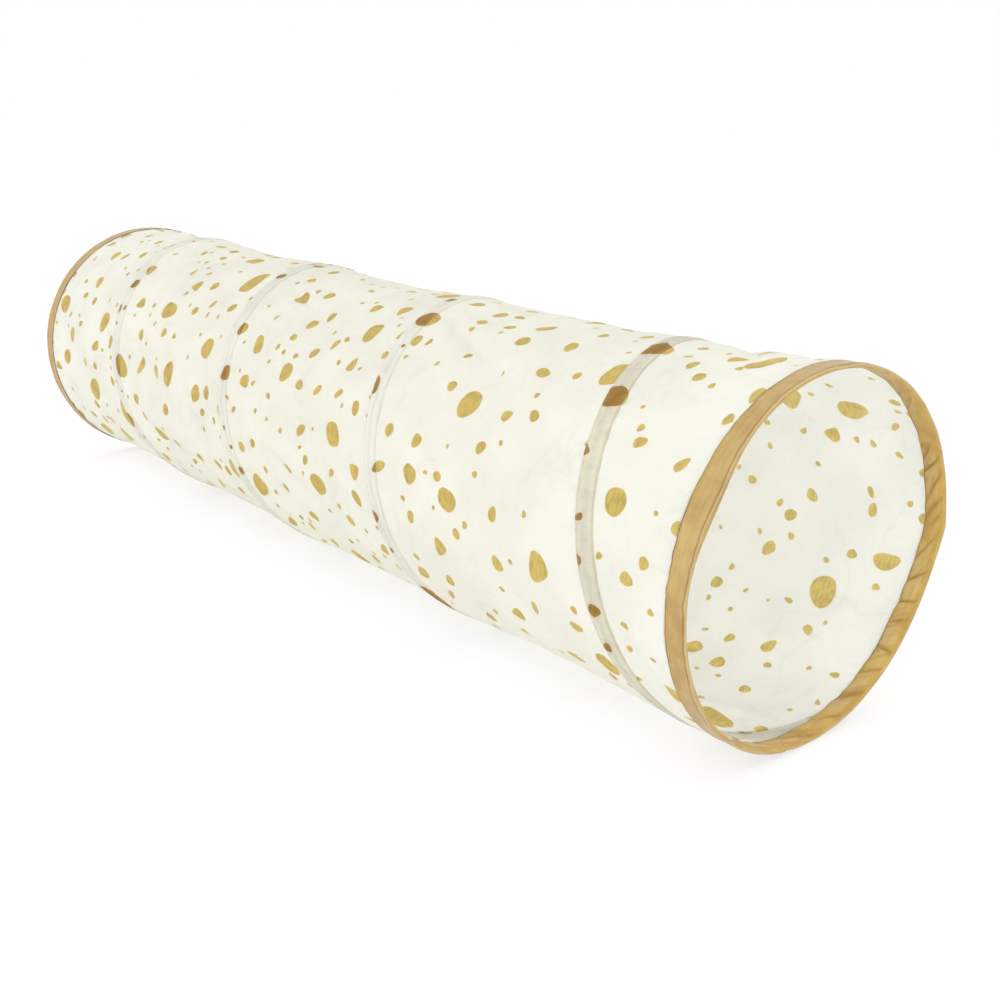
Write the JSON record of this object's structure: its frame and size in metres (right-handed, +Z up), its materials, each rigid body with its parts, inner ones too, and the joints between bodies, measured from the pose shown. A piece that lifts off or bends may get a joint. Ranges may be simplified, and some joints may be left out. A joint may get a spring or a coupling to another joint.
{
  "type": "crawl tunnel",
  "caption": "Pop-up crawl tunnel: a spring-steel coil sewn into a light printed fabric tube with bound open ends, which packs flat along its length.",
  "frame": {"origin": "on the ground under the middle of the tunnel", "axes": "+X along the tunnel towards the end nearest the camera, +Z up"},
  "size_m": [1.8, 0.48, 0.48],
  "materials": {
    "printed_cloth": "thin off-white polyester with an irregular ochre spot print, slightly translucent",
    "channel_cloth": "the same cloth in two layers, sewn down on both edges",
    "binding": "golden-tan woven binding, satin, gathered",
    "thread": "tan polyester sewing thread",
    "spring_steel": "bright drawn spring wire",
    "crimp_metal": "pressed steel sleeve, dull"
  },
  "bodies": {
    "rear_end": {"rear_hoop_wire": "spring_steel", "rear_hem_binding": "binding", "rear_hem_stitch": "thread", "rear_crimp_sleeve": "crimp_metal"},
    "turn_1": {"coil_turn_1": "spring_steel", "wire_channel_1": "channel_cloth", "channel_1_rear_stitch": "thread", "channel_1_front_stitch": "thread", "fabric_panel_1": "printed_cloth"},
    "turn_2": {"coil_turn_2": "spring_steel", "wire_channel_2": "channel_cloth", "channel_2_rear_stitch": "thread", "channel_2_front_stitch": "thread", "fabric_panel_2": "printed_cloth"},
    "turn_3": {"coil_turn_3": "spring_steel", "wire_channel_3": "channel_cloth", "channel_3_rear_stitch": "thread", "channel_3_front_stitch": "thread", "fabric_panel_3": "printed_cloth"},
    "turn_4": {"coil_turn_4": "spring_steel", "wire_channel_4": "channel_cloth", "channel_4_rear_stitch": "thread", "channel_4_front_stitch": "thread", "fabric_panel_4": "printed_cloth"},
    "front_end": {"front_hoop_wire": "spring_steel", "front_hem_binding": "binding", "front_hem_stitch": "thread", "front_crimp_sleeve": "crimp_metal", "fabric_panel_5": "printed_cloth"}
  },
  "joints": [
    {"name": "pop_up_slide", "type": "slide", "parent": "rear_end", "child": "front_end", "axis": [-1, 0, 0], "range_m": [0, 1.73382], "stiffness_N_per_m": 8, "springref_m": -0.2, "deforming": ["rear_hoop_wire", "rear_hem_binding", "rear_hem_stitch", "front_hoop_wire", "front_hem_binding", "front_hem_stitch", "fabric_panel_5"]},
    {"name": "turn_1_slide", "type": "slide", "parent": "rear_end", "child": "turn_1", "axis": [-1, 0, 0], "range_m": [0, 0.233], "deforming": ["coil_turn_1", "wire_channel_1", "channel_1_rear_stitch", "channel_1_front_stitch", "fabric_panel_1"]},
    {"name": "turn_2_slide", "type": "slide", "parent": "rear_end", "child": "turn_2", "axis": [-1, 0, 0], "range_m": [0, 0.6563], "deforming": ["coil_turn_2", "wire_channel_2", "channel_2_rear_stitch", "channel_2_front_stitch", "fabric_panel_2"]},
    {"name": "turn_3_slide", "type": "slide", "parent": "rear_end", "child": "turn_3", "axis": [-1, 0, 0], "range_m": [0, 1.0796], "deforming": ["coil_turn_3", "wire_channel_3", "channel_3_rear_stitch", "channel_3_front_stitch", "fabric_panel_3"]},
    {"name": "turn_4_slide", "type": "slide", "parent": "rear_end", "child": "turn_4", "axis": [-1, 0, 0], "range_m": [0, 1.5029], "deforming": ["coil_turn_4", "wire_channel_4", "channel_4_rear_stitch", "channel_4_front_stitch", "fabric_panel_4"]}
  ],
  "couplings": [
    {"joint": "turn_1_slide", "follows": "pop_up_slide", "ratio": 0.13379},
    {"joint": "turn_2_slide", "follows": "pop_up_slide", "ratio": 0.37793},
    {"joint": "turn_3_slide", "follows": "pop_up_slide", "ratio": 0.62207},
    {"joint": "turn_4_slide", "follows": "pop_up_slide", "ratio": 0.86621}
  ]
}
